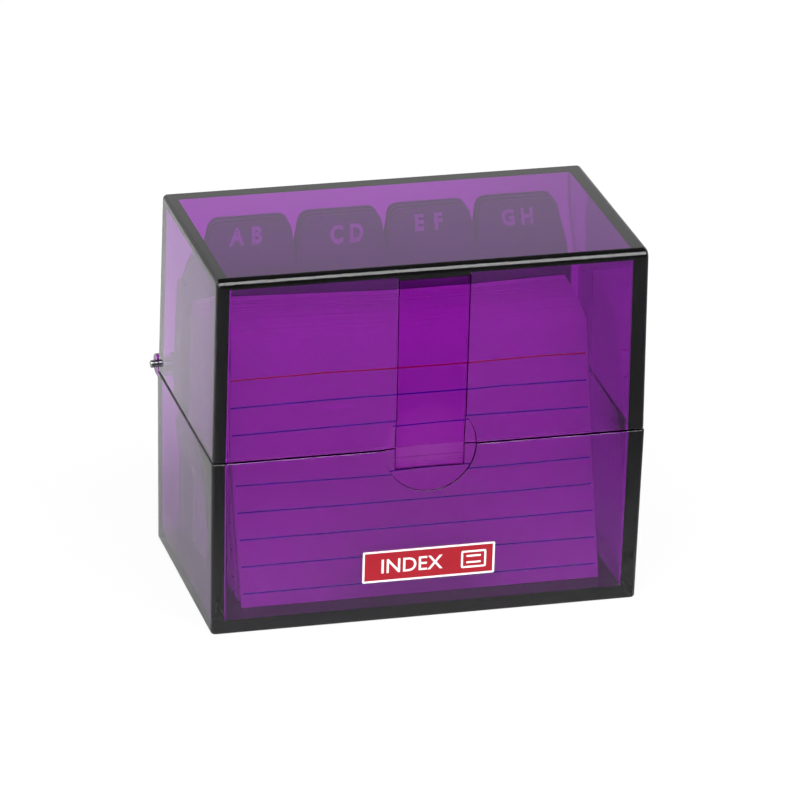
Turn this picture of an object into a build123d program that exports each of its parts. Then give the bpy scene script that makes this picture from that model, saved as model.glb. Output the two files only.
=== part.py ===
from build123d import *
from math import cos, hypot, radians, sin, tan
import os

# An index-card box for A8 cards: a transparent tray and a hinged transparent lid, moulded in
# polystyrene, with a sprung latch strip in the lid's front, two steel hinge pins, a stuck-on
# front label, a register of tabbed dividers and a fanned stock of ruled cards. The case is
# sized round its contents. Millimetres. +Z is up, +X is to the right and -Y is the front.
# The origin is the centre of the flat underside of the tray.

# ---- the cards ----
card_width = 74.0          # A8
card_height = 52.0
card_thickness = 0.145
card_pitch = 0.15
cards_in_pack = 10
pack_count = 10
front_lean = 18.5          # degrees that the front cards lean back
back_lean = 1.5            # degrees that the back cards lean back
pack_gap = 0.064           # between two packs at their tops, where they come closest

# ---- the dividers ----
divider_over_width = 3.5   # how much wider than a card
divider_over_height = 3.0  # how much taller than a card, without the tab
divider_thickness = 0.35
divider_pitch = 0.4
tab_height = 11.5
tab_foot_width = 20.5
tab_top_width = 15.8
tab_corner = 2.2
tab_pitch = 18.65
tabs_across = 4
divider_names = ["ab", "cd", "ef", "gh", "ij", "kl", "mn", "op", "qr", "st", "uv", "wz"]

# ---- the room round the contents ----
side_room = 2.75           # at the rim, between the dividers' edges and each side wall
front_room = 5.02          # at the floor, between the front wall and the front card's foot
back_room = 0.25           # at the floor, between the last divider and the back wall
pack_room = 0.5            # between the last card's top and the first divider
head_room = 4.0            # above the tabs
floor_clearance = 0.1
contents_offset = 1.0      # the cards and dividers stand a little right of the middle

# ---- the case ----
tray_height = 37.1         # from the underside to the rim, which is the parting plane
draft = 0.63               # degrees that every upright wall leans, for the mould
side_wall = 2.9
end_wall = 2.2             # the front and back walls
floor_wall = 2.5
top_wall = 2.5
rim_step = 0.15            # the lid stands this far inside the tray's outline, all round
seat_gap = 0.2             # between the two rims when the lid is shut
upright_edge = 1.0         # radius of the outer upright corners
inner_edge = 0.8           # radius of the inner upright corners
foot_edge = 0.6            # radius round the underside
rim_edge = 0.3             # radius of the two rims' outer edges
front_top_edge = 1.9       # radius of the lid's top front edge
other_top_edge = 0.7       # radius of the lid's other top edges

# ---- the latch strip and the finger recess ----
strip_top_width = 14.3
strip_rim_width = 13.9     # the strip narrows towards the rim
slit = 0.2                 # the gap on each side of the strip and above it
strip_inset = 0.1          # the strip lies this far behind the lid's front face
tongue_drop = 4.3          # the tongue hangs this far below the parting plane
tongue_wall = 0.3          # at its thinnest, in the middle of the dish
tongue_side_room = 0.2     # on each side of the tongue, in its pocket in the tray
tongue_end_room = 0.2      # below the tongue, in its pocket
catch_height = 1.0         # height of the rib across the tongue's end
catch_rib = 0.15           # how far that rib stands towards the tray
bead_height = 0.7          # the bead on the tray that the rib snaps under
bead_rib = 0.12            # how far the bead stands out of the pocket
bead_gap = 0.35            # up and down, between the rib and the bead
catch_clearance = 0.05     # front to back, between the rib and the bead
dish_margin = 1.277        # from the tongue's corners to the edge of the round finger dish
dish_depth = 1.0           # in the middle of the dish, which is half in the tray and half in the lid
dish_rim = 0.45            # depth of the steep slope round the dish
dish_rim_slope = 15.0      # degrees that this slope leans back from the bottom of the dish

# ---- the hinge ----
knuckle_radius = 2.1
knuckle_clearance = 0.25   # between a round knuckle and the tray's back face
pin_rise = 0.3             # the pin's axis lies this far above the parting plane
pin_diameter = 1.6
pin_end = 1.15             # how far a pin stands out of its outer knuckle
pin_dome = 0.3             # the rounding of a pin's ends
tray_bore_clearance = 0.02     # radial
lid_bore_clearance = 0.06      # radial
outer_knuckle_inset = 0.3  # from the case's side to the outer knuckle
knuckle_length = 3.2
lid_knuckle_length = 4.0
knuckle_gap = 0.15         # side to side, between neighbouring knuckles
knuckle_wall_gap = 0.3     # between a knuckle's web and the other half's rim
stop_inset = 0.15          # the tray knuckles have a square back corner, which stops the open
                           # lid: its faces lie this far inside the round part's reach
knuckle_bite = 1.0         # how deep a knuckle's web runs into its wall

# ---- the label ----
label_width = 27.3
label_height = 6.8
label_thickness = 0.12
label_corner = 0.3
label_height_above_base = 12.0     # the label's centre, up the front face
label_offset = 0.3

# ---- worked out from the sizes above ----
lean_in = tan(radians(draft))
draft_at_floor = (tray_height - floor_wall) * lean_in
divider_width = card_width + divider_over_width
divider_height = card_height + divider_over_height
divider_pack_depth = (len(divider_names) - 1) * divider_pitch + divider_thickness
pack_depth = (cards_in_pack - 1) * card_pitch + card_thickness
lean_step = (front_lean - back_lean) / (pack_count - 1)
pack_spacing = (pack_depth + pack_gap + card_height * sin(radians(lean_step))) / cos(radians(front_lean))
last_pack_depth = pack_depth / cos(radians(back_lean)) + card_height * sin(radians(back_lean))
contents_depth = (pack_count - 1) * pack_spacing + last_pack_depth + pack_room + divider_pack_depth
case_width = divider_width + 2 * (side_room + side_wall)
case_depth = front_room + contents_depth + back_room + 2 * (draft_at_floor + end_wall)
inside_floor = floor_wall + floor_clearance
total_height = inside_floor + divider_height + tab_height + head_room + top_wall
lid_width = case_width - 2 * rim_step
lid_depth = case_depth - 2 * rim_step
tray_front = -case_depth / 2
lid_front = -lid_depth / 2
lid_inside_top = total_height - top_wall
lid_rim = tray_height + seat_gap
pin_y = case_depth / 2 + knuckle_radius + knuckle_clearance
pin_z = tray_height + pin_rise
dish_radius = hypot(strip_rim_width / 2, tongue_drop) + dish_margin
dish_hollow = dish_depth - dish_rim
dish_floor_radius = dish_radius - dish_rim * tan(radians(dish_rim_slope))
dish_sphere = (dish_floor_radius**2 + dish_hollow**2) / (2 * dish_hollow)
tongue_inner = lid_front + dish_depth + tongue_wall
pocket_floor = tongue_inner + catch_rib + catch_clearance + bead_rib
pocket_width = strip_rim_width + 2 * tongue_side_room
front_pack_y = tray_front + end_wall + draft_at_floor + front_room
first_divider_y = front_pack_y + contents_depth - divider_pack_depth

os.makedirs("parts", exist_ok=True)


def keep(piece, name):
    piece.part.label = name
    export_step(piece.part, f"parts/{name}.step")


# ---- hinge knuckles: their places along the pin, and their outlines seen from the side ----
outer_start = case_width / 2 - outer_knuckle_inset
lid_start = outer_start - knuckle_length - knuckle_gap
inner_start = lid_start - lid_knuckle_length - knuckle_gap
pin_tip = outer_start + pin_end
pin_root = inner_start - knuckle_length
stop_reach = knuckle_radius - stop_inset


def knuckle(start, length, side, upper, stop=False):
    """One knuckle and its web, from start towards the middle, on the side +1 or -1."""
    web_low = pin_z - knuckle_radius
    web_high = tray_height - knuckle_wall_gap
    wall_y = case_depth / 2 - knuckle_bite
    if upper:
        web_low = tray_height + knuckle_wall_gap
        web_high = pin_z + knuckle_radius
    with BuildSketch(Plane.YZ.offset(side * start)) as outline:
        with Locations((pin_y, pin_z)):
            Circle(knuckle_radius)
            if stop:
                Rectangle(stop_reach, stop_reach, align=(Align.MIN, Align.MIN))
        with Locations((wall_y, web_low)):
            Rectangle(pin_y - wall_y, web_high - web_low, align=(Align.MIN, Align.MIN))
    extrude(outline.sketch, amount=-side * length)


def pin_bore(clearance, side, start, length):
    """The hole for the pin through a knuckle that begins at start."""
    with BuildSketch(Plane.YZ.offset(side * start)) as hole:
        with Locations((pin_y, pin_z)):
            Circle(pin_diameter / 2 + clearance)
    extrude(hole.sketch, amount=-side * length, mode=Mode.SUBTRACT)


def finger_dish(face_y):
    """The tool that cuts the round hollow for a fingertip into an upright face, at the parting plane."""
    with BuildPart(mode=Mode.PRIVATE) as tool:
        with BuildSketch(Plane.XZ.offset(-face_y - dish_depth)) as bottom:
            with Locations((0, tray_height)):
                Circle(dish_floor_radius)
        extrude(bottom.sketch, amount=2 * dish_depth)
        with Locations((0, face_y + dish_depth - dish_sphere, tray_height)):
            Sphere(dish_sphere, mode=Mode.INTERSECT)
        with BuildSketch(Plane.XZ.offset(-face_y - dish_rim)) as rim:
            with Locations((0, tray_height)):
                Circle(dish_floor_radius)
        extrude(rim.sketch, amount=2 * dish_rim, taper=-dish_rim_slope)
    return tool.part


# ---- the tray ----
with BuildPart() as tray:
    with BuildSketch(Plane.XY.offset(tray_height)):
        Rectangle(case_width, case_depth)
    extrude(amount=-tray_height, taper=draft)
    fillet(tray.edges().filter_by_position(Axis.Z, tray_height * 0.4, tray_height * 0.6), upright_edge)
    fillet(tray.faces().sort_by(Axis.Z)[0].edges(), foot_edge)
    fillet(tray.faces().sort_by(Axis.Z)[-1].edges(), rim_edge)
    with BuildSketch(Plane.XY.offset(tray_height)):
        RectangleRounded(case_width - 2 * side_wall, case_depth - 2 * end_wall, inner_edge)
    extrude(amount=floor_wall - tray_height, taper=draft, mode=Mode.SUBTRACT)
    add(finger_dish(tray_front), mode=Mode.SUBTRACT)
    with BuildSketch(Plane.XZ.offset(-pocket_floor)):
        with Locations((0, tray_height)):
            Rectangle(pocket_width, tongue_drop + tongue_end_room, align=(Align.CENTER, Align.MAX))
    extrude(amount=end_wall, mode=Mode.SUBTRACT)
    bead_top = tray_height - tongue_drop + catch_height + bead_gap + bead_height
    with BuildSketch(Plane.XZ.offset(-pocket_floor - bead_rib)):
        with Locations((0, bead_top)):
            Rectangle(strip_rim_width, bead_height, align=(Align.CENTER, Align.MAX))
    extrude(amount=2 * bead_rib)
    for side in (-1, 1):
        knuckle(outer_start, knuckle_length, side, upper=False)
        knuckle(inner_start, knuckle_length, side, upper=False, stop=True)
        pin_bore(tray_bore_clearance, side, outer_start, knuckle_length)
        pin_bore(tray_bore_clearance, side, inner_start, knuckle_length)
keep(tray, "base_tray")


# ---- the lid ----
window_top_width = strip_top_width + 2 * slit
window_rim_width = strip_rim_width + 2 * slit

with BuildPart() as lid:
    with BuildSketch(Plane.XY.offset(lid_rim)):
        Rectangle(lid_width, lid_depth)
    extrude(amount=total_height - lid_rim, taper=draft)
    top_lines = lid.edges().filter_by(Axis.X).group_by(Axis.Z)[-1]
    fillet(top_lines.sort_by(Axis.Y)[0], front_top_edge)
    fillet(lid.edges().filter_by_position(Axis.Z, total_height * 0.7, total_height * 0.8), upright_edge)
    top_edges = lid.faces().sort_by(Axis.Z)[-1].edges()
    fillet(top_edges.filter_by_position(Axis.Y, -case_depth / 3, case_depth / 2), other_top_edge)
    fillet(lid.faces().sort_by(Axis.Z)[0].edges(), rim_edge)
    with BuildSketch(Plane.XY.offset(lid_rim)):
        RectangleRounded(lid_width - 2 * side_wall, lid_depth - 2 * end_wall, inner_edge)
    extrude(amount=lid_inside_top - lid_rim, taper=draft, mode=Mode.SUBTRACT)
    with BuildSketch(Plane.XZ.offset(-lid_front - end_wall - top_wall)):
        with BuildLine():
            Polyline(
                (-window_rim_width / 2, lid_rim),
                (window_rim_width / 2, lid_rim),
                (window_top_width / 2, lid_inside_top),
                (-window_top_width / 2, lid_inside_top),
                close=True,
            )
        make_face()
    extrude(amount=2 * (end_wall + top_wall), mode=Mode.SUBTRACT)
    add(finger_dish(lid_front), mode=Mode.SUBTRACT)
    for side in (-1, 1):
        knuckle(lid_start, lid_knuckle_length, side, upper=True)
        pin_bore(lid_bore_clearance, side, lid_start, lid_knuckle_length)
keep(lid, "lid")


# ---- the latch strip: an upright plate in the lid's slits, and the tongue below it ----
strip_top = lid_inside_top - slit
strip_outer = lid_front + strip_inset
strip_inner = lid_front + end_wall
tongue_end = tray_height - tongue_drop
strip_lean = (strip_top - tray_height) * lean_in

with BuildPart() as strip:
    with BuildSketch(Plane.YZ.offset(-strip_top_width / 2)):
        with BuildLine():
            Polyline(
                (strip_outer, tray_height + slit),
                (strip_outer + strip_lean, strip_top),
                (strip_inner + strip_lean, strip_top),
                (strip_inner, tray_height + slit),
                (tongue_inner, tray_height + slit),
                (tongue_inner, tongue_end + catch_height),
                (tongue_inner + catch_rib, tongue_end + catch_height),
                (tongue_inner + catch_rib, tongue_end),
                (strip_outer, tongue_end),
                close=True,
            )
        make_face()
    extrude(amount=strip_top_width)
    with BuildSketch(Plane.XZ.offset(-tray_front - end_wall - top_wall)):
        with BuildLine():
            Polyline(
                (-strip_rim_width / 2, tongue_end),
                (strip_rim_width / 2, tongue_end),
                (strip_rim_width / 2, tray_height),
                (strip_top_width / 2, strip_top),
                (-strip_top_width / 2, strip_top),
                (-strip_rim_width / 2, tray_height),
                close=True,
            )
        make_face()
    extrude(amount=2 * (end_wall + top_wall), mode=Mode.INTERSECT)
    add(finger_dish(lid_front), mode=Mode.SUBTRACT)
keep(strip, "latch_strip")


# ---- the hinge pins ----
for side, name in ((-1, "left_hinge_pin"), (1, "right_hinge_pin")):
    with BuildPart() as pin:
        with BuildSketch(Plane.YZ.offset(side * pin_root)):
            with Locations((pin_y, pin_z)):
                Circle(pin_diameter / 2)
        extrude(amount=side * (pin_tip - pin_root))
        fillet(pin.edges().filter_by(GeomType.CIRCLE), pin_dome)
    keep(pin, name)


# ---- the label, flat on the leaning front face ----
label_inset = (tray_height - label_height_above_base) * lean_in
label_plane = Plane(
    origin=(label_offset, tray_front + label_inset, label_height_above_base),
    x_dir=(1, 0, 0),
    z_dir=(0, -cos(radians(draft)), -sin(radians(draft))),
)

with BuildPart() as label:
    with BuildSketch(label_plane):
        RectangleRounded(label_width, label_height, label_corner)
    extrude(amount=label_thickness)
keep(label, "front_label")


# ---- the cards: packs that fan from leaning back at the front to nearly upright behind ----
def leaf_plane(foot_y, lean):
    """The front face of a sheet that stands on the floor at foot_y and leans back."""
    return Plane(
        origin=(contents_offset, foot_y, inside_floor),
        x_dir=(1, 0, 0),
        z_dir=(0, -cos(radians(lean)), sin(radians(lean))),
    )


for pack_index in range(pack_count):
    pack_y = front_pack_y + pack_index * pack_spacing
    pack_lean = front_lean - pack_index * lean_step
    with BuildPart() as pack:
        for card_index in range(cards_in_pack):
            card_y = pack_y + card_index * card_pitch / cos(radians(pack_lean))
            with BuildSketch(leaf_plane(card_y, pack_lean)):
                Rectangle(card_width, card_height, align=(Align.CENTER, Align.MIN))
            extrude(amount=-card_thickness)
    keep(pack, f"card_pack_{pack_index + 1}")
    print(f"card_pack_{pack_index + 1} foot y {pack_y:.3f} lean {pack_lean:.3f}")


# ---- the dividers: upright boards, each with one tab, in rows of four across ----
for divider_index, letters in enumerate(divider_names):
    divider_y = first_divider_y + divider_index * divider_pitch
    tab_x = (divider_index % tabs_across - (tabs_across - 1) / 2) * tab_pitch
    with BuildPart() as divider:
        with BuildSketch(leaf_plane(divider_y, 0)):
            with BuildLine():
                Polyline(
                    (-divider_width / 2, 0),
                    (divider_width / 2, 0),
                    (divider_width / 2, divider_height),
                    (tab_x + tab_foot_width / 2, divider_height),
                    (tab_x + tab_top_width / 2, divider_height + tab_height),
                    (tab_x - tab_top_width / 2, divider_height + tab_height),
                    (tab_x - tab_foot_width / 2, divider_height),
                    (-divider_width / 2, divider_height),
                    close=True,
                )
            make_face()
        extrude(amount=-divider_thickness)
        tab_crest = divider.edges().filter_by(Axis.Y).group_by(Axis.Z)[-1]
        fillet(tab_crest, tab_corner)
    keep(divider, f"divider_{letters}")
    print(f"divider_{letters} foot y {divider_y:.3f}")

print(f"pin axis y {pin_y:.3f} z {pin_z:.3f}  strip root z {strip_top:.3f} y {strip_inner + strip_lean:.3f}")
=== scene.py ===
import math

import bmesh
import bpy
import numpy as np
from mathutils import Matrix, Vector


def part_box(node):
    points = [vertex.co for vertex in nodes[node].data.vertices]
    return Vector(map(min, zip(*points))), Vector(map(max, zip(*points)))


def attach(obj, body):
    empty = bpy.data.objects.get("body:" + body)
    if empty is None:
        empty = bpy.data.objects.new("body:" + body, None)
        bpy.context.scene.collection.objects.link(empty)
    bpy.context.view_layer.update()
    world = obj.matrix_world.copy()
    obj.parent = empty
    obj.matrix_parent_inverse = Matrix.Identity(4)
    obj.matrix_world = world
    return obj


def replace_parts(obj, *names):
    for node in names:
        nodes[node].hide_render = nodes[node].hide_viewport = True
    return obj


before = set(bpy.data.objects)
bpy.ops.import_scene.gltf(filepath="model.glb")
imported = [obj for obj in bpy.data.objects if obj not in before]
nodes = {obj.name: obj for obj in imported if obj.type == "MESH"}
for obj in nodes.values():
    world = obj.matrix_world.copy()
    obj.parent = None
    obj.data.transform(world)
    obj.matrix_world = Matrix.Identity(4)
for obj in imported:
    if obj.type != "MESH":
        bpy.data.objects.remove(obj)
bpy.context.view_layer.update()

MM = 0.001

# ---- sizes of what is drawn here, in millimetres ----
CARD_WIDTH = 74.0
CARD_HEIGHT = 52.0
CARD_THICKNESS = 0.12
CARD_PITCH = 0.125
CARDS_IN_PACK = 10
PACK_COUNT = 10
PACK_DEPTH = 1.495         # front to back, of a pack's solid
SHEAF = 5                  # cards that cling together
SHEAF_FOOT_GAP = 1.06      # between the feet of two sheaves of a pack
SHEAF_LEAN = 0.944         # degrees that a sheaf leans less than the one in front of it
CARD_BOW = 0.35            # how far a card's middle sags behind the line from its foot to its top
CARD_TRIM = 0.50           # how much shorter than the tallest a card may be cut
CARD_SHIFT = 0.35          # how far a card may stand off to the side
HEADER = 6.4               # from the card's top edge down to the red line
RULE_PITCH = 5.35          # from one blue line to the next
RULE_WIDTH = 0.30
RULE_MARGIN = 0.4          # the lines stop this far short of the card's sides
DIVIDER_NAMES = ["ab", "cd", "ef", "gh", "ij", "kl", "mn", "op", "qr", "st", "uv", "wz"]
LETTER_HEIGHT = 3.0
LETTER_SPACING = 4.0       # from one letter's middle to the next
LETTER_BASELINE = 3.8      # below the tab's top edge
STAMP_OFFSETS = {"ab": (-0.9, 0.1), "cd": (1.05, 1.2), "ef": (-0.5, 0.5), "gh": (-0.3, 1.0), "mn": (0.4, 0.7),
                 "st": (-0.5, 0.3)}     # how far right of the middle and how much lower a tab is stamped
LETTER_BOLD = 0.14
PRINT_THICKNESS = 0.02
LABEL_BORDER = 0.42        # the white line round the label
LABEL_TITLE_HEIGHT = 3.0
TITLE_BOLD = 0.02
LABEL_TITLE_X = -3.6
LABEL_SIGN_X = 9.3         # the card sign's middle
LABEL_SIGN_WIDTH = 5.2
LABEL_SIGN_HEIGHT = 3.8
LABEL_SIGN_LINE = 0.42
LABEL_CORNER = 0.3
LABEL_SIGN_CORNER = 0.4
LABEL_RULE_INSET = 1.1     # from each side of the card sign to its two rules
LABEL_RULE_CORNER = 0.1
LABEL_RULE_SPACING = 1.4   # from one rule's middle to the other's
SMALLEST_CORNER = 0.02


# ---- materials ----
TINT = (0.815, 0.06, 0.882, 1.0)      # the nearer a channel is to 1, the less of it is absorbed
TINT_DENSITY = 1000.0
STRIP_TINT_DENSITY = 1100.0          # the strip looks deeper in colour than the lid
FULL_REFLECTION = (1.0, 1.0, 1.0, 1.0)
STRIP_REFLECTION = (0.2, 0.2, 0.2, 1.0)    # weaker than the same plastic in the lid
POLYSTYRENE_IOR = 1.59
# How many grains of each pattern fit in a metre.
RIPPLE_GRAIN = 90.0        # a ripple is about 11 mm long
RUB_GRAIN = 130.0          # a rubbed patch is about 8 mm across
SCRATCH_GRAIN = (60.0, 60.0, 9000.0)      # a scratch is about 16 mm long and a tenth of a millimetre wide
SCRATCH_TURN = (0.25, 0.6, 0.0)
FIBRE_GRAIN = 2500.0       # 0.4 mm
SHEET_GRAIN = 3000.0       # 0.3 mm
SHEET_CLOUD_GRAIN = 60.0   # 17 mm
FOIL_GRAIN = 1800.0        # 0.6 mm
DRAWN_GRAIN = (200.0, 6000.0, 6000.0)     # lines 5 mm long and a sixth of a millimetre wide
PEEL_GRAIN = 1500.0        # 0.7 mm
INK_GRAIN = 350.0          # 3 mm
TOOTH_GRAIN = 900.0        # 1.1 mm, on the paper floor


def linear(hex_colour):
    """An sRGB hex colour as the linear RGBA that a shader takes."""
    parts = [int(hex_colour[i : i + 2], 16) / 255 for i in (1, 3, 5)]
    return tuple(p / 12.92 if p <= 0.04045 else ((p + 0.055) / 1.055) ** 2.4 for p in parts) + (1.0,)


class Shader:
    """The node tree of a new material or world, and one way to add a node to it with its settings and its links."""

    def __init__(self, owner):
        self.owner = owner
        owner.use_nodes = True
        self.tree = owner.node_tree
        self.tree.nodes.clear()

    def add(self, kind, settings=(), **links):
        """Settings are the node's own properties. Links are its inputs, each given another node's output or a value.
        An input goes by its name, with _ for a space, or by _ and its number."""
        node = self.tree.nodes.new(kind)
        for key, value in dict(settings).items():
            setattr(node, key, value)
        for key, value in links.items():
            socket = node.inputs[int(key[1:])] if key[1:].isdigit() else node.inputs[key.replace("_", " ")]
            if isinstance(value, bpy.types.NodeSocket):
                self.tree.links.new(value, socket)
            else:
                socket.default_value = value
        return node


def blend(s, factor, low, high):
    """A colour that goes from low to high as factor goes from 0 to 1. Each end is a colour or another node's output."""
    return s.add("ShaderNodeMix", dict(data_type="RGBA"), _0=factor, _6=low, _7=high).outputs[2]


def product(s, *factors):
    """All the factors multiplied together."""
    result = factors[0]
    for factor in factors[1:]:
        result = s.add("ShaderNodeMath", dict(operation="MULTIPLY"), _0=result, _1=factor).outputs[0]
    return result


def polystyrene(name, reflection, tint_density):
    """Crystal polystyrene, tinted purple and moulded against polished steel. It is as clear and glossy as glass, with
    the colour in its depth, so a wall seen edge on looks nearly black. Its faces ripple very slightly, and handling has
    left them with faint rubbed patches and hair-fine scratches."""
    s = Shader(bpy.data.materials.new(name))
    place = s.add("ShaderNodeTexCoord").outputs["Object"]
    ripple = s.add("ShaderNodeTexNoise", Vector=place, Scale=RIPPLE_GRAIN, Detail=1.0)
    flow = s.add("ShaderNodeMapping", Vector=place, Scale=SCRATCH_GRAIN, Rotation=SCRATCH_TURN)
    scratch = s.add("ShaderNodeTexNoise", Vector=flow.outputs["Vector"], Scale=1.0, Detail=1.0)
    hair = s.add("ShaderNodeMapRange", Value=scratch.outputs["Fac"], From_Min=0.74, From_Max=0.80)
    rubbed = s.add("ShaderNodeTexNoise", Vector=place, Scale=RUB_GRAIN, Detail=4.0)
    rough = s.add("ShaderNodeMapRange", Value=rubbed.outputs["Fac"], From_Min=0.45, From_Max=0.75,
                  To_Min=0.008, To_Max=0.035)
    height = s.add("ShaderNodeMath", dict(operation="MULTIPLY_ADD"), _0=hair.outputs["Result"], _1=-0.02,
                   _2=ripple.outputs["Fac"])
    bump = s.add("ShaderNodeBump", Height=height.outputs[0], Strength=0.02, Distance=0.0002)
    shine = s.add("ShaderNodeBsdfPrincipled", Base_Color=(1, 1, 1, 1), Roughness=rough.outputs["Result"],
                  IOR=POLYSTYRENE_IOR, Transmission_Weight=1.0, Specular_Tint=reflection,
                  Normal=bump.outputs["Normal"])
    tint = s.add("ShaderNodeVolumeAbsorption", Color=TINT, Density=tint_density)
    s.add("ShaderNodeOutputMaterial", Surface=shine.outputs["BSDF"], Volume=tint.outputs["Volume"])
    return s.owner


def card_stock():
    """Index card: white uncoated stock, ruled in red and blue on both faces. It is quite matt, with a soft fibre."""
    s = Shader(bpy.data.materials.new("ruled_index_card"))
    place = s.add("ShaderNodeTexCoord").outputs["Object"]
    fibre = s.add("ShaderNodeTexNoise", Vector=place, Scale=FIBRE_GRAIN, Detail=3.0)
    tone = blend(s, fibre.outputs["Fac"], linear("#E6E6E2"), linear("#F0F0EC"))
    ruling = s.add("ShaderNodeUVMap", dict(uv_map="ruling")).outputs["UV"]
    across, height, _ = s.add("ShaderNodeSeparateXYZ", Vector=ruling).outputs
    off_centre = s.add("ShaderNodeMath", dict(operation="SUBTRACT"), _0=across, _1=CARD_WIDTH / 2).outputs[0]
    printed = s.add("ShaderNodeMath", dict(operation="COMPARE"), _0=off_centre, _1=0.0,
                    _2=CARD_WIDTH / 2 - RULE_MARGIN).outputs[0]
    below = s.add("ShaderNodeMath", dict(operation="SUBTRACT"), _0=CARD_HEIGHT - HEADER, _1=height).outputs[0]
    red = s.add("ShaderNodeMath", dict(operation="COMPARE"), _0=below, _1=0.0, _2=RULE_WIDTH / 2).outputs[0]
    step = s.add("ShaderNodeMath", dict(operation="PINGPONG"), _0=below, _1=RULE_PITCH / 2).outputs[0]
    near = s.add("ShaderNodeMath", dict(operation="LESS_THAN"), _0=step, _1=RULE_WIDTH / 2).outputs[0]
    low = s.add("ShaderNodeMath", dict(operation="GREATER_THAN"), _0=below, _1=RULE_PITCH / 2).outputs[0]
    ruled = blend(s, product(s, near, low, printed), tone, linear("#5560BE"))
    headed = blend(s, product(s, red, printed), ruled, linear("#D81C50"))
    bump = s.add("ShaderNodeBump", Height=fibre.outputs["Fac"], Strength=0.15, Distance=0.00005)
    paper = s.add("ShaderNodeBsdfPrincipled", Base_Color=headed, Roughness=0.85, IOR=1.45,
                  Normal=bump.outputs["Normal"])
    s.add("ShaderNodeOutputMaterial", Surface=paper.outputs["BSDF"])
    return s.owner


def divider_sheet():
    """Grey polypropylene sheet, extruded over a sandblasted roll: a fine matt grain that scatters the light softly."""
    s = Shader(bpy.data.materials.new("grained_polypropylene"))
    place = s.add("ShaderNodeTexCoord").outputs["Object"]
    grain = s.add("ShaderNodeTexNoise", Vector=place, Scale=SHEET_GRAIN, Detail=2.0)
    cloud = s.add("ShaderNodeTexNoise", Vector=place, Scale=SHEET_CLOUD_GRAIN, Detail=3.0)
    tone = blend(s, cloud.outputs["Fac"], linear("#84828C"), linear("#918F99"))
    bump = s.add("ShaderNodeBump", Height=grain.outputs["Fac"], Strength=0.35, Distance=0.00004)
    sheet = s.add("ShaderNodeBsdfPrincipled", Base_Color=tone, Roughness=0.5, IOR=1.49,
                  Normal=bump.outputs["Normal"])
    s.add("ShaderNodeOutputMaterial", Surface=sheet.outputs["BSDF"])
    return s.owner


def tab_print():
    """White hot-stamped foil: thin and opaque, a little glossier than the sheet, and not quite even."""
    s = Shader(bpy.data.materials.new("white_stamped_foil"))
    place = s.add("ShaderNodeTexCoord").outputs["Object"]
    wear = s.add("ShaderNodeTexNoise", Vector=place, Scale=FOIL_GRAIN, Detail=2.0)
    tone = blend(s, wear.outputs["Fac"], linear("#F0F0F0"), linear("#FFFFFF"))
    ink = s.add("ShaderNodeBsdfPrincipled", Base_Color=tone, Roughness=0.4)
    s.add("ShaderNodeOutputMaterial", Surface=ink.outputs["BSDF"])
    return s.owner


def drawn_steel():
    """Bright drawn steel wire: grey metal with faint lines along the draw."""
    s = Shader(bpy.data.materials.new("drawn_steel_wire"))
    place = s.add("ShaderNodeTexCoord").outputs["Object"]
    along = s.add("ShaderNodeMapping", Vector=place, Scale=DRAWN_GRAIN)
    lines = s.add("ShaderNodeTexNoise", Vector=along.outputs["Vector"], Scale=1.0, Detail=2.0)
    rough = s.add("ShaderNodeMapRange", Value=lines.outputs["Fac"], To_Min=0.18, To_Max=0.34)
    steel = s.add("ShaderNodeBsdfPrincipled", Base_Color=linear("#A3A4A7"), Metallic=1.0,
                  Roughness=rough.outputs["Result"])
    s.add("ShaderNodeOutputMaterial", Surface=steel.outputs["BSDF"])
    return s.owner


def label_film(name, colour, deep):
    """Screen-printed vinyl label: an even satin colour under the faint orange peel of its varnish."""
    s = Shader(bpy.data.materials.new(name))
    place = s.add("ShaderNodeTexCoord").outputs["Object"]
    peel = s.add("ShaderNodeTexNoise", Vector=place, Scale=PEEL_GRAIN, Detail=1.0)
    cover = s.add("ShaderNodeTexNoise", Vector=place, Scale=INK_GRAIN, Detail=2.0)
    tone = blend(s, cover.outputs["Fac"], linear(deep), linear(colour))
    bump = s.add("ShaderNodeBump", Height=peel.outputs["Fac"], Strength=0.1, Distance=0.00003)
    film = s.add("ShaderNodeBsdfPrincipled", Base_Color=tone, Roughness=0.35, IOR=1.5,
                 Normal=bump.outputs["Normal"])
    s.add("ShaderNodeOutputMaterial", Surface=film.outputs["BSDF"])
    return s.owner


clear = polystyrene("clear_purple_polystyrene", FULL_REFLECTION, TINT_DENSITY)
clear_strip = polystyrene("clear_purple_polystyrene_strip", STRIP_REFLECTION, STRIP_TINT_DENSITY)
paper = card_stock()
board = divider_sheet()
foil = tab_print()
steel = drawn_steel()
red_film = label_film("red_vinyl_label", "#AE1226", "#A40E20")
white_ink = label_film("white_label_ink", "#FFFFFF", "#F4F4F4")


# ---- helpers for pieces ----
CRISP_BREAK = 25.0         # degrees
FLAT_BREAK = 7.0           # degrees, between a flat face and a hollow cut into it
FLAT_COSINE = math.cos(math.radians(0.8))      # a little more than the mould's draft
SAME_POINT = 1e-6          # metres: points closer than this are one


def piece(name, mesh, body, material):
    """A finished object, at the origin with its place in its mesh, riding on a body."""
    made = bpy.data.objects.new(name, mesh)
    bpy.context.scene.collection.objects.link(made)
    mesh.materials.clear()
    mesh.materials.append(material)
    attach(made, body)
    return made


def is_flat(face):
    """Whether a face lies square to an axis, or leans by no more than the mould's draft."""
    return max(abs(part) for part in face.normal) > FLAT_COSINE


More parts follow.
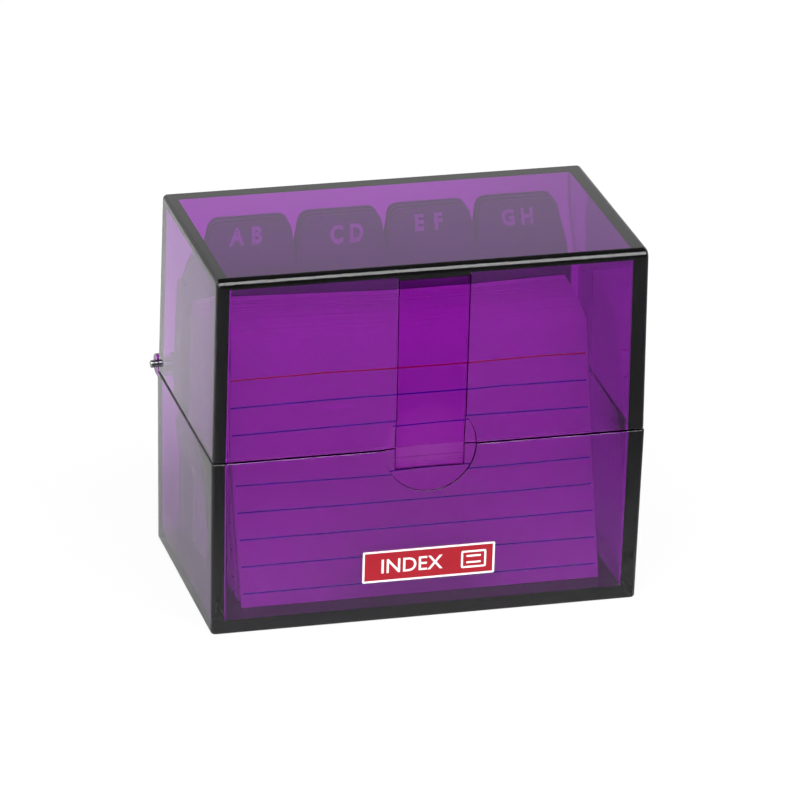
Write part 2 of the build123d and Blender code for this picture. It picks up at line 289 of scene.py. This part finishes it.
def polish_edges(bm):
    """Smooth shading, but a crisp line at each sharp corner and all round each flat face."""
    for face in bm.faces:
        face.smooth = True
    for edge in bm.edges:
        angle = edge.calc_face_angle(0.0)
        beside_flat = sum(is_flat(face) for face in edge.link_faces) == 1
        edge.smooth = angle < (math.radians(FLAT_BREAK) if beside_flat else math.radians(CRISP_BREAK))


def polished(node, body, name, material):
    """A merged and smoothly shaded copy of a CAD node, in its place."""
    mesh = nodes[node].data.copy()
    bm = bmesh.new()
    bm.from_mesh(mesh)
    bmesh.ops.remove_doubles(bm, verts=bm.verts, dist=SAME_POINT)
    polish_edges(bm)
    bm.to_mesh(mesh)
    bm.free()
    for attribute in [a for a in mesh.attributes if a.name == "custom_normal"]:
        mesh.attributes.remove(attribute)
    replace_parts(piece(name, mesh, body, material), node)


polished("base_tray", "tray", "clear_tray", clear)
polished("lid", "lid", "clear_lid", clear)
polished("latch_strip", "latch", "clear_latch_strip", clear_strip)
for side in ("left", "right"):
    polished(f"{side}_hinge_pin", "tray", f"{side}_steel_pin", steel)


# ---- the cards: a loosely fanned pack, grown from one ruled card ----
class Tree:
    """A geometry node tree with named inputs, and one way to add a node to it."""

    def __init__(self, name, inputs):
        self.tree = bpy.data.node_groups.new(name, "GeometryNodeTree")
        self.tree.interface.new_socket("Geometry", in_out="OUTPUT", socket_type="NodeSocketGeometry")
        for label, kind in inputs.items():
            self.tree.interface.new_socket(label, in_out="INPUT", socket_type=kind)
        self.inputs = self.tree.nodes.new("NodeGroupInput").outputs

    add = Shader.add

    def maths(self, operation, first, second=0.0, third=0.0):
        return self.add("ShaderNodeMath", dict(operation=operation), _0=first, _1=second, _2=third).outputs[0]


GRID_ACROSS, GRID_UP = 9, 13      # points of a card's grid
TRIM_SEED_STEP = 50.0             # sets the trimming's random draw apart from the shifting's


def pack_tree():
    """Count cards in sheaves. Each is a thin ruled sheet that sags in its middle, and each sheaf leans less than the
    one in front of it, with a gap between them that widens towards the floor."""
    t = Tree("fanned_card_pack", {
        "Card Width": "NodeSocketFloat", "Card Height": "NodeSocketFloat", "Card Thickness": "NodeSocketFloat",
        "Count": "NodeSocketInt", "Foot": "NodeSocketVector", "Lean": "NodeSocketFloat",
        "Pitch": "NodeSocketFloat", "Sheaf": "NodeSocketInt", "Sheaf Gap": "NodeSocketFloat",
        "Sheaf Lean": "NodeSocketFloat", "Bow": "NodeSocketFloat",
        "Trim": "NodeSocketFloat", "Shift": "NodeSocketFloat", "Seed": "NodeSocketInt",
        "Material": "NodeSocketMaterial"})
    size = t.inputs
    sheet = t.add("GeometryNodeMeshGrid", {}, Size_X=size["Card Width"], Size_Y=size["Card Height"],
                  Vertices_X=GRID_ACROSS, Vertices_Y=GRID_UP)
    across, along, _ = t.add("ShaderNodeSeparateXYZ", Vector=sheet.outputs["UV Map"]).outputs
    in_mm = 1 / MM
    from_side = t.maths("MULTIPLY", t.maths("MULTIPLY", across, size["Card Width"]), in_mm)
    from_foot = t.maths("MULTIPLY", t.maths("MULTIPLY", along, size["Card Height"]), in_mm)
    ruling = t.add("ShaderNodeCombineXYZ", X=from_side, Y=from_foot)
    ruled = t.add("GeometryNodeStoreNamedAttribute", dict(data_type="FLOAT2", domain="CORNER"),
                  Geometry=sheet.outputs["Mesh"], Name="ruling", Value=ruling.outputs[0])
    thick = t.add("GeometryNodeExtrudeMesh", {}, Mesh=ruled.outputs[0], Offset_Scale=size["Card Thickness"])
    thick.inputs["Individual"].default_value = False
    bare_edge = t.add("GeometryNodeStoreNamedAttribute", dict(data_type="FLOAT2", domain="CORNER"),
                      Geometry=thick.outputs["Mesh"], Selection=thick.outputs["Side"], Name="ruling",
                      Value=(0.0, 0.0, 0.0))
    underside = t.add("GeometryNodeFlipFaces", Mesh=ruled.outputs[0])
    both = t.add("GeometryNodeJoinGeometry")
    t.tree.links.new(underside.outputs[0], both.inputs[0])
    t.tree.links.new(bare_edge.outputs[0], both.inputs[0])
    closed = t.add("GeometryNodeMergeByDistance", Geometry=both.outputs[0], Distance=SAME_POINT)
    # The card is laid flat, with X across it and Y up it. Its sag is a parabola up its height.
    x, y, z = t.add("ShaderNodeSeparateXYZ", Vector=t.add("GeometryNodeInputPosition").outputs[0]).outputs
    part_up = t.maths("DIVIDE", y, size["Card Height"])
    hollow = t.maths("SUBTRACT", 0.25, t.maths("MULTIPLY", part_up, part_up))
    sag = t.maths("MULTIPLY", t.maths("MULTIPLY", hollow, 4.0), size["Bow"])
    lifted = t.add("ShaderNodeCombineXYZ", X=x, Y=t.maths("MULTIPLY_ADD", size["Card Height"], 0.5, y),
                   Z=t.maths("SUBTRACT", z, sag))
    card = t.add("GeometryNodeSetPosition", Geometry=closed.outputs[0], Position=lifted.outputs[0])
    # One point for each card, from front to back, with the card stood up and leant back on it.
    number = t.add("GeometryNodeInputIndex").outputs[0]
    scatter = t.add("FunctionNodeRandomValue", dict(data_type="FLOAT"), _2=-1.0, _3=1.0, Seed=size["Seed"]).outputs[1]
    off_side = t.maths("MULTIPLY", scatter, size["Shift"])
    sheaf = t.maths("FLOOR", t.maths("DIVIDE", number, size["Sheaf"]))
    stacked = t.maths("DIVIDE", t.maths("MULTIPLY", number, size["Pitch"]), t.maths("COSINE", size["Lean"]))
    back = t.maths("MULTIPLY_ADD", sheaf, size["Sheaf Gap"], stacked)
    offset = t.add("ShaderNodeCombineXYZ", X=off_side, Y=back, Z=0.0)
    place = t.add("ShaderNodeVectorMath", dict(operation="ADD"), _0=size["Foot"], _1=offset.outputs[0])
    points = t.add("GeometryNodePoints", Count=size["Count"], Position=place.outputs[0])
    lean = t.maths("SUBTRACT", size["Lean"], t.maths("MULTIPLY", sheaf, size["Sheaf Lean"]))
    turn = t.maths("SUBTRACT", math.pi / 2, lean)
    rotation = t.add("ShaderNodeCombineXYZ", X=turn, Y=0.0, Z=0.0)
    seed_two = t.maths("ADD", size["Seed"], TRIM_SEED_STEP)
    cut = t.add("FunctionNodeRandomValue", dict(data_type="FLOAT"), _2=0.0, _3=1.0, Seed=seed_two).outputs[1]
    short = t.maths("DIVIDE", t.maths("MULTIPLY", cut, size["Trim"]), size["Card Height"])
    trimmed = t.add("ShaderNodeCombineXYZ", X=1.0, Y=t.maths("SUBTRACT", 1.0, short), Z=1.0)
    fan = t.add("GeometryNodeInstanceOnPoints", Points=points.outputs[0], Instance=card.outputs[0],
                Rotation=rotation.outputs[0], Scale=trimmed.outputs[0])
    real = t.add("GeometryNodeRealizeInstances", Geometry=fan.outputs[0])
    finish = t.add("GeometryNodeSetMaterial", Geometry=real.outputs[0], Material=size["Material"])
    t.tree.links.new(finish.outputs[0], t.tree.nodes.new("NodeGroupOutput").inputs[0])
    return t.tree


def grown(tree, name, values):
    """The plain mesh that a geometry node tree makes with these values."""
    holder = bpy.data.objects.new(name, bpy.data.meshes.new(name))
    bpy.context.scene.collection.objects.link(holder)
    modifier = holder.modifiers.new(name, "NODES")
    modifier.node_group = tree
    for socket in tree.interface.items_tree:
        if socket.item_type == "SOCKET" and socket.in_out == "INPUT":
            modifier[socket.identifier] = values[socket.name]
    mesh = bpy.data.meshes.new_from_object(holder.evaluated_get(bpy.context.evaluated_depsgraph_get()))
    bpy.data.objects.remove(holder)
    return mesh


def pack_place(number):
    """A pack's foot and lean, read off its CAD solids, in metres and radians."""
    low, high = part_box(f"card_pack_{number}")
    lean = math.asin((high.y - low.y - PACK_DEPTH * MM) / (CARD_HEIGHT * MM))
    return Vector(((low.x + high.x) / 2, low.y, low.z)), lean


fanned_pack = pack_tree()
for number in range(1, PACK_COUNT + 1):
    foot, lean = pack_place(number)
    mesh = grown(fanned_pack, f"cards_{number}", {
        "Card Width": CARD_WIDTH * MM, "Card Height": CARD_HEIGHT * MM, "Card Thickness": CARD_THICKNESS * MM,
        "Count": CARDS_IN_PACK, "Foot": foot, "Lean": lean, "Pitch": CARD_PITCH * MM, "Sheaf": SHEAF,
        "Sheaf Gap": SHEAF_FOOT_GAP * MM, "Sheaf Lean": math.radians(SHEAF_LEAN), "Bow": CARD_BOW * MM,
        "Trim": CARD_TRIM * MM, "Shift": CARD_SHIFT * MM, "Seed": number, "Material": paper})
    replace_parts(piece(f"ruled_cards_{number}", mesh, f"card_pack_{number}", paper), f"card_pack_{number}")


# ---- print: letters and plain signs as thin solids that face the front ----
CURVE_STEPS = 4             # short straight lines to a curved stretch of a letter


def print_mesh(outline, thickness, height=None):
    """A flat text or curve as a thin solid, stood upright and facing -Y, and brought to a height where one is given."""
    outline.extrude = thickness * MM / 2
    outline.resolution_u = CURVE_STEPS
    holder = bpy.data.objects.new("print", outline)
    bpy.context.scene.collection.objects.link(holder)
    mesh = bpy.data.meshes.new_from_object(holder.evaluated_get(bpy.context.evaluated_depsgraph_get()))
    bpy.data.objects.remove(holder)
    mesh.transform(Matrix.Rotation(math.radians(90), 4, "X"))
    if height:
        rows = [v.co.z for v in mesh.vertices]
        fit = height * MM / (max(rows) - min(rows))
        mesh.transform(Matrix.Diagonal((fit, 1, fit, 1)) @ Matrix.Translation((0, 0, -min(rows))))
    return mesh


def letters(text, bold):
    """Plain capitals, with their strokes thickened by bold on each side."""
    outline = bpy.data.curves.new("letters", "FONT")
    outline.body = text
    outline.size = LETTER_HEIGHT * MM
    outline.align_x = "CENTER"
    outline.offset = bold * MM
    return outline


SAME_PRINT_POINT = 1e-7     # metres
STAMP_OFFSET = (0.0, 0.6)   # of a tab that has none of its own


def joined(name, meshes):
    """One mesh from several, with their doubled points merged."""
    bm = bmesh.new()
    for mesh in meshes:
        bm.from_mesh(mesh)
    bmesh.ops.remove_doubles(bm, verts=bm.verts, dist=SAME_PRINT_POINT)
    made = bpy.data.meshes.new(name)
    bm.to_mesh(made)
    bm.free()
    return made


def placed(mesh, x, y, z):
    """The mesh, moved. Metres."""
    mesh.transform(Matrix.Translation((x, y, z)))
    return mesh


CORNER_STEPS = 4            # short straight lines to a rounded corner


def rounded_ring(width, height, corner, line):
    """The outline of a rounded oblong, or a ring of that line width where one is given. Millimetres."""
    outline = bpy.data.curves.new("ring", "CURVE")
    outline.dimensions = "2D"
    outline.fill_mode = "BOTH"
    for inset in [0.0] + ([line] if line else []):
        points = []
        radius = max(corner - inset, SMALLEST_CORNER)
        for quarter, (sx, sy) in enumerate(((1, 1), (-1, 1), (-1, -1), (1, -1))):
            for k in range(CORNER_STEPS + 1):
                angle = math.radians(90 * (quarter + k / CORNER_STEPS))
                points.append((sx * (width / 2 - inset - radius) + radius * math.cos(angle),
                               sy * (height / 2 - inset - radius) + radius * math.sin(angle)))
        spline = outline.splines.new("POLY")
        spline.points.add(len(points) - 1)
        for point, (px, py) in zip(spline.points, points):
            point.co = (px * MM, py * MM, 0, 1)
        spline.use_cyclic_u = True
    return outline


# ---- the dividers: the CAD sheets, with letters stamped on their tabs ----
CREST_BAND = 1e-5           # metres: how close to a tab's top its highest points lie

for name in DIVIDER_NAMES:
    node = f"divider_{name}"
    low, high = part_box(node)
    nodes[node].data.materials.clear()
    nodes[node].data.materials.append(board)
    points = np.array([v.co for v in nodes[node].data.vertices])
    crest = points[points[:, 2] > high.z - CREST_BAND]
    tab_x = (crest[:, 0].min() + crest[:, 0].max()) / 2
    stamped = []
    aside, lower = STAMP_OFFSETS.get(name, STAMP_OFFSET)
    for side, letter in zip((-0.5, 0.5), name.upper()):
        flat = print_mesh(letters(letter, LETTER_BOLD), PRINT_THICKNESS, LETTER_HEIGHT)
        stamped.append(placed(flat, tab_x + (side * LETTER_SPACING + aside) * MM, low.y - PRINT_THICKNESS * MM / 2,
                              high.z - (LETTER_BASELINE + lower) * MM))
    piece(f"tab_print_{name}", joined(f"tab_print_{name}", stamped), node, foil)


# ---- the front label: red vinyl with a white line round it and a plain card sign ----
low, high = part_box("front_label")
label_middle = ((low.x + high.x) / 2, low.y, (low.z + high.z) / 2)
label_width, label_height = (high.x - low.x) / MM, (high.z - low.z) / MM
film_thickness = (high.y - low.y) / MM - PRINT_THICKNESS
film = print_mesh(rounded_ring(label_width, label_height, LABEL_CORNER, 0.0), film_thickness)
film = placed(film, label_middle[0], high.y - film_thickness * MM / 2, label_middle[2])
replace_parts(piece("label_film", film, "tray", red_film), "front_label")
flat = [print_mesh(rounded_ring(label_width, label_height, LABEL_CORNER, LABEL_BORDER), PRINT_THICKNESS)]
title = print_mesh(letters("INDEX", TITLE_BOLD), PRINT_THICKNESS, LABEL_TITLE_HEIGHT)
flat.append(placed(title, LABEL_TITLE_X * MM, 0, -LABEL_TITLE_HEIGHT * MM / 2))
sign = print_mesh(rounded_ring(LABEL_SIGN_WIDTH, LABEL_SIGN_HEIGHT, LABEL_SIGN_CORNER, LABEL_SIGN_LINE),
                  PRINT_THICKNESS)
flat.append(placed(sign, LABEL_SIGN_X * MM, 0, 0))
for row in (-0.5, 0.5):
    rule = print_mesh(rounded_ring(LABEL_SIGN_WIDTH - 2 * LABEL_RULE_INSET, LABEL_SIGN_LINE, LABEL_RULE_CORNER, 0.0),
                      PRINT_THICKNESS)
    flat.append(placed(rule, LABEL_SIGN_X * MM, 0, row * LABEL_RULE_SPACING * MM))
label_print = placed(joined("label_print", flat), label_middle[0], low.y + PRINT_THICKNESS * MM / 2,
                     label_middle[2])
piece("label_print", label_print, "tray", white_ink)


# ---- camera, from the box's own frame ----
AZIMUTH = math.radians(-15.5)
ELEVATION = math.radians(23.07)
ROLL = math.radians(1.60)
DISTANCE = 1.1864
AIM_RIGHT, AIM_UP = 0.00024, -0.00012      # metres
AIM_HEIGHT = 0.0371        # metres above the floor: the seam between tray and lid
FOCAL_LENGTH = 264.8
FILM_WIDTH = 36.0
VIEW_RANGE = 50

back = Vector((math.sin(AZIMUTH) * math.cos(ELEVATION), -math.cos(AZIMUTH) * math.cos(ELEVATION),
               math.sin(ELEVATION)))
right = (-back).cross(Vector((0, 0, 1))).normalized()
up = right.cross(-back)
across = right * math.cos(ROLL) + up * math.sin(ROLL)
upward = up * math.cos(ROLL) - right * math.sin(ROLL)
eye = Vector((0, 0, AIM_HEIGHT)) + back * DISTANCE + across * AIM_RIGHT + upward * AIM_UP
lens = bpy.data.cameras.new("camera")
lens.lens = FOCAL_LENGTH
lens.sensor_width = FILM_WIDTH
lens.clip_end = VIEW_RANGE
camera = bpy.data.objects.new("camera", lens)
bpy.context.scene.collection.objects.link(camera)
turn = Matrix((across, upward, back)).transposed().to_4x4()
camera.matrix_world = Matrix.Translation(eye) @ turn
bpy.context.scene.camera = camera


# ---- floor and light ----
FLOOR_HALF = 3.0                       # metres, from the floor's middle to its edges
# The front and right parts are painted shade: the floor is darker there only in what it gives back to the object.
FLOOR_FRONT_PAINTED_SHADE, FLOOR_BACK, FLOOR_RIGHT_PAINTED_SHADE = 0.17, 0.55, 0.25      # how light each part of the floor is
FLOOR_FRONT_SHADE_FADE = (-0.13, 0.02)       # metres along Y, from the front part to the back one
FLOOR_RIGHT_SHADE_FADE = (0.04, 0.12)        # metres along X, from the back part to the right one
FLOOR_SHADOW_SHARE = 0.08              # how much of the contact shadow the camera sees
FLOOR_SHADED = 0.8
SWEEP_LIGHT, ROOM_LIGHT, FILL_LIGHT, SOFTBOX_LIGHT = 0.66, 0.12, 1.6, 6.2
# Where each light lies round the object, as the parts along X, Y and Z of the way to it. Each pair runs from
# none of that light to all of it.
SWEEP_FRONT, SWEEP_TOP = (-0.35, 0.25), (0.70, 0.52)
SOFTBOX_BACK, SOFTBOX_FRONT = (-0.26, -0.34), (-0.80, -0.72)
SOFTBOX_LOW, SOFTBOX_SIDES = (0.40, 0.52), (0.80, 0.70)
FILL_SIDE, FILL_LOW, FILL_TOP = (-0.5, -0.62), (0.12, 0.22), (0.75, 0.65)


def grey(level):
    """A neutral colour of that lightness."""
    return (level, level, level, 1.0)


def ramp(s, value, span):
    """0 before the span, 1 after it, and smooth between its two ends."""
    start, end = span
    return s.add("ShaderNodeMapRange", dict(interpolation_type="SMOOTHSTEP"), Value=value,
                 From_Min=start, From_Max=end, To_Min=0.0, To_Max=1.0).outputs["Result"]


def studio_floor():
    """White paper. What the camera sees of it is burnt out to white, but for a faint contact shadow. What it gives back
    to the object is painted shade: it is painted darker in front and to the right."""
    mesh = bpy.data.meshes.new("floor")
    corners = [(x * FLOOR_HALF, y * FLOOR_HALF, 0) for x, y in ((-1, -1), (1, -1), (1, 1), (-1, 1))]
    mesh.from_pydata(corners, [], [(0, 1, 2, 3)])
    floor = bpy.data.objects.new("floor", mesh)
    bpy.context.scene.collection.objects.link(floor)
    s = Shader(bpy.data.materials.new("white_paper_with_painted_shade"))
    place = s.add("ShaderNodeTexCoord").outputs["Object"]
    x, y, _ = s.add("ShaderNodeSeparateXYZ", Vector=place).outputs
    tooth = s.add("ShaderNodeTexNoise", Vector=place, Scale=TOOTH_GRAIN, Detail=2.0)
    bump = s.add("ShaderNodeBump", Height=tooth.outputs["Fac"], Strength=0.02, Distance=0.0001)
    # Painted shade: the tone is darker in front and to the right, and the object reflects it and is lit by it.
    behind = blend(s, ramp(s, x, FLOOR_RIGHT_SHADE_FADE), grey(FLOOR_BACK), grey(FLOOR_RIGHT_PAINTED_SHADE))
    tone = blend(s, ramp(s, y, FLOOR_FRONT_SHADE_FADE), grey(FLOOR_FRONT_PAINTED_SHADE), behind)
    sweep = s.add("ShaderNodeBsdfPrincipled", Base_Color=tone, Roughness=0.9, Normal=bump.outputs["Normal"])
    lit = s.add("ShaderNodeBsdfDiffuse", Color=grey(FLOOR_SHADED))
    glow = s.add("ShaderNodeEmission", Color=grey(1.0), Strength=1.0)
    seen = s.add("ShaderNodeMixShader", Fac=1.0 - FLOOR_SHADOW_SHARE, _1=lit.outputs[0], _2=glow.outputs[0])
    camera_ray = s.add("ShaderNodeLightPath").outputs["Is Camera Ray"]
    both = s.add("ShaderNodeMixShader", Fac=camera_ray, _1=sweep.outputs[0], _2=seen.outputs[0])
    s.add("ShaderNodeOutputMaterial", Surface=both.outputs[0])
    mesh.materials.append(s.owner)


def studio_world():
    """A white sweep behind, a dark room in front and above, a fill light on the left, and one large softbox overhead,
    a little to the front. The camera sees white behind the object."""
    s = Shader(bpy.data.worlds.new("studio"))
    direction = s.add("ShaderNodeSeparateXYZ", Vector=s.add("ShaderNodeTexCoord").outputs["Generated"])
    x, y, z = direction.outputs
    sweep = product(s, ramp(s, y, SWEEP_FRONT), ramp(s, z, SWEEP_TOP))
    side = s.add("ShaderNodeMath", dict(operation="ABSOLUTE"), _0=x).outputs[0]
    softbox = product(s, ramp(s, y, SOFTBOX_BACK), ramp(s, y, SOFTBOX_FRONT), ramp(s, z, SOFTBOX_LOW),
                      ramp(s, side, SOFTBOX_SIDES))
    fill = product(s, ramp(s, x, FILL_SIDE), ramp(s, z, FILL_LOW), ramp(s, z, FILL_TOP))
    room = blend(s, fill, blend(s, sweep, grey(ROOM_LIGHT), grey(SWEEP_LIGHT)), grey(FILL_LIGHT))
    lit = blend(s, softbox, room, grey(SOFTBOX_LIGHT))
    camera_ray = s.add("ShaderNodeLightPath").outputs["Is Camera Ray"]
    shown = blend(s, camera_ray, lit, grey(1.0))
    background = s.add("ShaderNodeBackground", Color=shown, Strength=1.0)
    s.add("ShaderNodeOutputWorld", Surface=background.outputs[0])
    bpy.context.scene.world = s.owner


studio_floor()
studio_world()
bpy.context.scene.view_settings.view_transform = "Standard"
